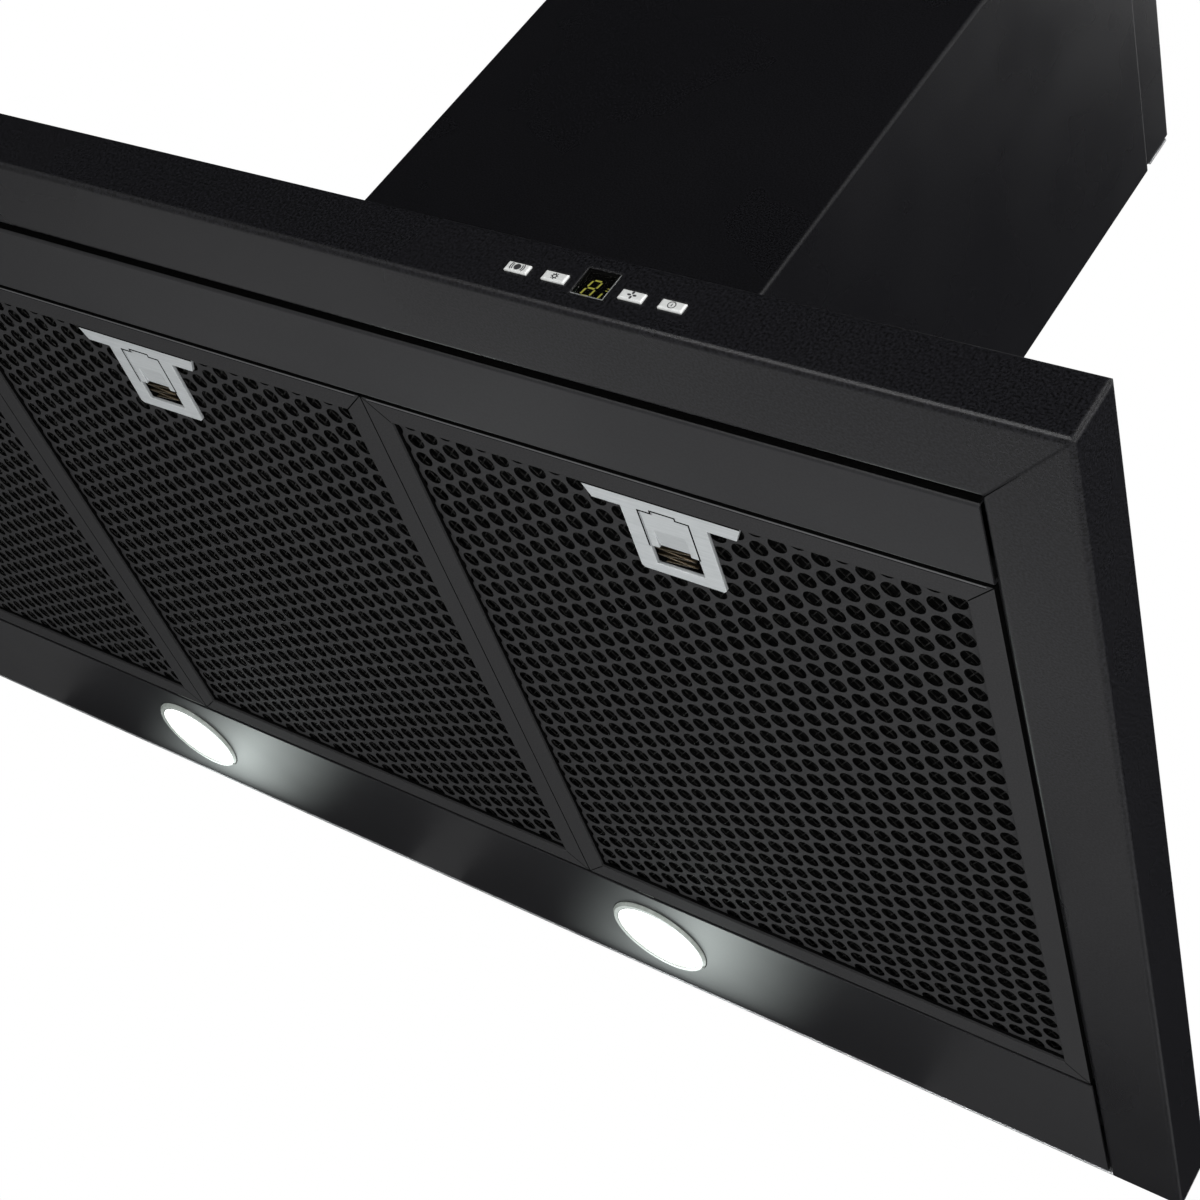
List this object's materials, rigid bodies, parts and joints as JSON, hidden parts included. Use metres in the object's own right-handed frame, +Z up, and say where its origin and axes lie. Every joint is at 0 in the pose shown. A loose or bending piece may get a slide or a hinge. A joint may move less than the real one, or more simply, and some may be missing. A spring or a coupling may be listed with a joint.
{
  "type": "canopy range hood",
  "caption": "Black wall-mounted canopy range hood with hinged perforated grease filters, lip push buttons, round lamps, duct blower and telescopic chimney cover",
  "frame": {"origin": "middle of the four wall fixing holes, on the back face", "axes": "X to the right seen from the front, Y towards the wall, Z up"},
  "size_m": [0.9, 0.5168, 0.7054],
  "materials": {
    "black_paint": "fine-textured satin black powder coat",
    "zinc_sheet": "bare zinc-coated sheet",
    "filter_paint": "dark grey satin coat on perforated sheet",
    "filter_mesh": "dark expanded aluminium mesh",
    "latch_steel": "satin stainless steel",
    "spring_steel": "dull bronze-tinted spring strip",
    "lamp_rim": "clear moulded rim that glows round the lens",
    "lamp_lens": "white diffusing lens, lit",
    "lamp_body": "plain die-cast heat sink",
    "black_plastic": "moulded black plastic",
    "grey_plastic": "moulded grey plastic",
    "board_green": "solder-masked circuit board",
    "display_glass": "smoked glass",
    "display_black": "black display with yellow-green segments",
    "button_silver": "silvered gloss plastic",
    "motor_steel": "plain turned steel",
    "gland_rubber": "black rubber"
  },
  "bodies": {
    "hood": {"canopy_front": "black_paint", "canopy_left": "black_paint", "canopy_right": "black_paint", "canopy_back": "zinc_sheet", "canopy_deck": "zinc_sheet", "front_panel": "black_paint", "light_panel": "black_paint", "lamp_ring_left": "lamp_rim", "lamp_lens_left": "lamp_lens", "lamp_body_left": "lamp_body", "lamp_ring_right": "lamp_rim", "lamp_lens_right": "lamp_lens", "lamp_body_right": "lamp_body", "control_housing": "black_plastic", "circuit_board": "board_green", "display_window": "display_glass", "display_module": "display_black", "lower_chimney": "black_paint", "blower_scroll": "black_plastic", "inlet_ring": "black_plastic", "motor_plate": "zinc_sheet", "motor": "motor_steel", "outlet_collar": "grey_plastic", "damper_rod": "motor_steel", "terminal_box": "black_plastic", "terminal_lid": "black_plastic", "capacitor": "grey_plastic", "lamp_driver": "black_plastic", "cable_gland": "gland_rubber"},
    "filter_left": {"filter_frame_left": "filter_paint", "filter_face_left": "filter_paint", "filter_core_left": "filter_mesh", "latch_plate_left": "latch_steel", "latch_spring_left": "spring_steel"},
    "latch_left": {"latch_slider_left": "latch_steel"},
    "filter_middle": {"filter_frame_middle": "filter_paint", "filter_face_middle": "filter_paint", "filter_core_middle": "filter_mesh", "latch_plate_middle": "latch_steel", "latch_spring_middle": "spring_steel"},
    "latch_middle": {"latch_slider_middle": "latch_steel"},
    "filter_right": {"filter_frame_right": "filter_paint", "filter_face_right": "filter_paint", "filter_core_right": "filter_mesh", "latch_plate_right": "latch_steel", "latch_spring_right": "spring_steel"},
    "latch_right": {"latch_slider_right": "latch_steel"},
    "button_light": {"button_light": "button_silver"},
    "button_timer": {"button_timer": "button_silver"},
    "button_speed": {"button_speed": "button_silver"},
    "button_power": {"button_power": "button_silver"},
    "upper_cover": {"upper_chimney": "black_paint", "chimney_bracket": "zinc_sheet"},
    "fan": {"blower_impeller": "black_plastic", "fan_shaft": "motor_steel"},
    "flap_rear": {"damper_flap_rear": "grey_plastic"},
    "flap_front": {"damper_flap_front": "grey_plastic"}
  },
  "joints": [
    {"name": "filter_left_swing", "type": "hinge", "parent": "hood", "child": "filter_left", "pos_m": [-0.2756, -0.0869, -0.1483], "axis": [1, 0, 0], "range_deg": [0, 80]},
    {"name": "latch_left_slide", "type": "slide", "parent": "filter_left", "child": "latch_left", "axis": [0, 1, 0], "range_m": [0, 0.007], "stiffness_N_per_m": 400, "springref_m": -0.004, "deforming": ["latch_spring_left"]},
    {"name": "filter_middle_swing", "type": "hinge", "parent": "hood", "child": "filter_middle", "pos_m": [0, -0.0869, -0.1483], "axis": [1, 0, 0], "range_deg": [0, 80]},
    {"name": "latch_middle_slide", "type": "slide", "parent": "filter_middle", "child": "latch_middle", "axis": [0, 1, 0], "range_m": [0, 0.007], "stiffness_N_per_m": 400, "springref_m": -0.004, "deforming": ["latch_spring_middle"]},
    {"name": "filter_right_swing", "type": "hinge", "parent": "hood", "child": "filter_right", "pos_m": [0.2756, -0.0869, -0.1483], "axis": [1, 0, 0], "range_deg": [0, 80]},
    {"name": "latch_right_slide", "type": "slide", "parent": "filter_right", "child": "latch_right", "axis": [0, 1, 0], "range_m": [0, 0.007], "stiffness_N_per_m": 400, "springref_m": -0.004, "deforming": ["latch_spring_right"]},
    {"name": "button_light_press", "type": "slide", "parent": "hood", "child": "button_light", "axis": [0, 1, 0], "range_m": [0, 0.0008], "stiffness_N_per_m": 400, "springref_m": -0.001},
    {"name": "button_timer_press", "type": "slide", "parent": "hood", "child": "button_timer", "axis": [0, 1, 0], "range_m": [0, 0.0008], "stiffness_N_per_m": 400, "springref_m": -0.001},
    {"name": "button_speed_press", "type": "slide", "parent": "hood", "child": "button_speed", "axis": [0, 1, 0], "range_m": [0, 0.0008], "stiffness_N_per_m": 400, "springref_m": -0.001},
    {"name": "button_power_press", "type": "slide", "parent": "hood", "child": "button_power", "axis": [0, 1, 0], "range_m": [0, 0.0008], "stiffness_N_per_m": 400, "springref_m": -0.001},
    {"name": "upper_cover_slide", "type": "slide", "parent": "hood", "child": "upper_cover", "axis": [0, 0, 1], "range_m": [0, 0.35]},
    {"name": "fan_spin", "type": "hinge", "parent": "hood", "child": "fan", "pos_m": [0, -0.1835, -0.028], "axis": [1, 0, 0], "continuous": true},
    {"name": "flap_rear_swing", "type": "hinge", "parent": "hood", "child": "flap_rear", "pos_m": [0, -0.131, 0.09], "axis": [1, 0, 0], "range_deg": [0, 75]},
    {"name": "flap_front_swing", "type": "hinge", "parent": "hood", "child": "flap_front", "pos_m": [0, -0.131, 0.09], "axis": [-1, 0, 0], "range_deg": [0, 75]}
  ]
}
